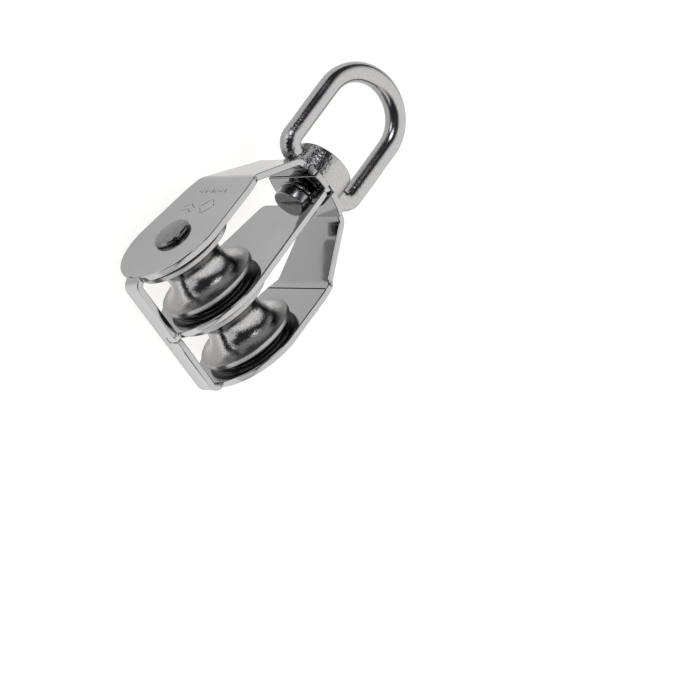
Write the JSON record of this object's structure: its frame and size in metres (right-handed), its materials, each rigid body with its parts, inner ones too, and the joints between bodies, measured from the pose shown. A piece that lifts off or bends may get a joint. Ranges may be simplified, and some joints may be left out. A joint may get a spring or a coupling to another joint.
{
  "type": "double sheave block",
  "caption": "Small riveted steel rope block: a folded shell with grooved sheaves side by side on one pin, a centre plate, and a swivel eye.",
  "frame": {"origin": "bottom centre of the whole object's box, with the block lying on the back edges of its cheeks", "axes": "+X along the axle to the right cheek, +Y up the block from the strap to the eye, +Z out of the front"},
  "size_m": [0.0314, 0.0749, 0.0252],
  "materials": {
    "shell": "polished",
    "centre_plate": "polished",
    "axle_rivet": "satin",
    "sheaves": "turned",
    "swivel_eye": "polished casting",
    "swivel_pin": "satin",
    "swivel_washer": "satin"
  },
  "bodies": {
    "frame": {"shell": "shell", "centre_plate": "centre_plate", "axle_rivet": "axle_rivet"},
    "left_sheave": {"left_sheave": "sheaves"},
    "right_sheave": {"right_sheave": "sheaves"},
    "washer": {"swivel_washer": "swivel_washer"},
    "eye": {"swivel_eye": "swivel_eye", "swivel_pin": "swivel_pin"}
  },
  "joints": [
    {"name": "left_sheave_spin", "type": "hinge", "parent": "frame", "child": "left_sheave", "pos_m": [-0.00685, -0.02327, 0.0122], "axis": [1, 0, 0], "continuous": true},
    {"name": "right_sheave_spin", "type": "hinge", "parent": "frame", "child": "right_sheave", "pos_m": [0.00685, -0.02327, 0.0122], "axis": [1, 0, 0], "continuous": true},
    {"name": "eye_rock", "type": "hinge", "parent": "frame", "child": "washer", "pos_m": [0, 0.00623, 0.0122], "axis": [0, 0, 1], "range_deg": [-12, 0]},
    {"name": "eye_swivel", "type": "hinge", "parent": "washer", "child": "eye", "pos_m": [0, 0.00623, 0.0122], "axis": [-0.1045, 0.9945, 0], "continuous": true}
  ]
}
